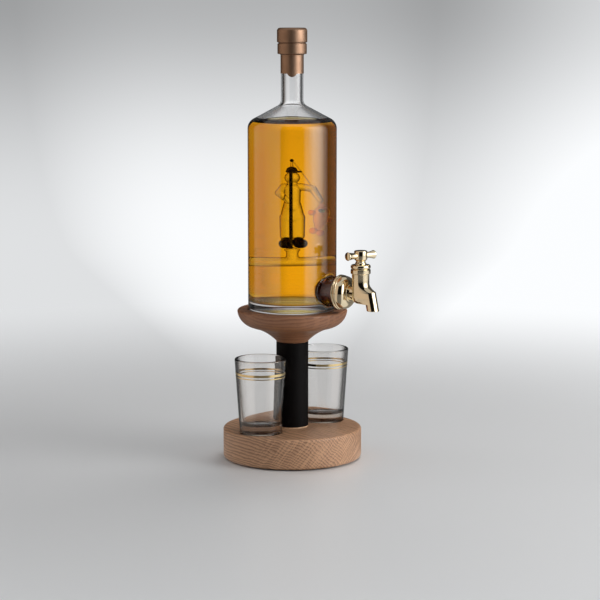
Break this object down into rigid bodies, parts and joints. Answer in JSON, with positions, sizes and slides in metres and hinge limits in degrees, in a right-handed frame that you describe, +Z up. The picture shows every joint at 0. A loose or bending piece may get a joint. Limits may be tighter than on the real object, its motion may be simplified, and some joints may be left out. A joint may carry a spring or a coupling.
{
  "type": "whisky decanter with tap",
  "caption": "Clear glass decanter with a bib tap in its side and a glass angler inside, standing in a turned wooden stand with banded shot glasses on its base.",
  "frame": {"origin": "centre of the stand's underside, on the floor", "axes": "+Z up along the bottle's axis, +X the way the tap pours, millimetre source in metres"},
  "size_m": [0.1546, 0.126, 0.3895],
  "materials": {
    "oak": "oiled",
    "felt": "felt",
    "steel": "zinc plated",
    "label": "matt black",
    "clear_glass": "clear",
    "black_glass": "black",
    "pink_glass": "pink",
    "orange_glass": "orange",
    "gold_plate": "polished gold plate",
    "rubber": "dark",
    "copper_foil": "satin copper",
    "cork": "cork",
    "stopper_plastic": "moulded",
    "gold_print": "fired gold"
  },
  "bodies": {
    "stand": {"base_disc": "oak", "base_felt": "felt", "base_screw": "steel", "column": "oak", "column_label": "label", "dish": "oak", "dish_screw": "steel"},
    "bottle": {"bottle": "clear_glass", "capsule_skirt": "copper_foil", "bridge_rod": "clear_glass", "angler_body": "clear_glass", "angler_cap": "black_glass", "angler_boots": "black_glass", "fishing_rod": "black_glass", "fishing_line": "clear_glass", "fish": "pink_glass", "fish_fins": "orange_glass", "branch_bung": "rubber", "tail_nut": "gold_plate", "rose_gasket": "rubber", "tap_rose": "gold_plate", "tap_body": "gold_plate", "gland_packing": "rubber", "gland_nut": "gold_plate"},
    "valve": {"valve_plug": "gold_plate", "plug_o_rings": "rubber", "stop_pin": "steel", "handle_hub": "gold_plate", "handle_arms": "gold_plate", "hub_grub_screw": "steel"},
    "stopper": {"stopper_cork": "cork", "stopper_head": "stopper_plastic", "capsule_top": "copper_foil"},
    "left_shot_glass": {"left_glass": "clear_glass", "left_gold_bands": "gold_print"},
    "right_shot_glass": {"right_glass": "clear_glass", "right_gold_bands": "gold_print"}
  },
  "joints": [
    {"name": "bottle_lift", "type": "slide", "parent": "stand", "child": "bottle", "axis": [0, 0, 1], "range_m": [0, 0.03]},
    {"name": "tap_turn", "type": "hinge", "parent": "bottle", "child": "valve", "pos_m": [0.073, 0, 0.177], "axis": [0, 0, 1], "range_deg": [0, 90]},
    {"name": "stopper_lift", "type": "slide", "parent": "bottle", "child": "stopper", "axis": [0, 0, 1], "range_m": [0, 0.045]},
    {"name": "left_glass_lift", "type": "slide", "parent": "stand", "child": "left_shot_glass", "axis": [0, 0, 1], "range_m": [0, 0.01]},
    {"name": "right_glass_lift", "type": "slide", "parent": "stand", "child": "right_shot_glass", "axis": [0, 0, 1], "range_m": [0, 0.01]}
  ]
}
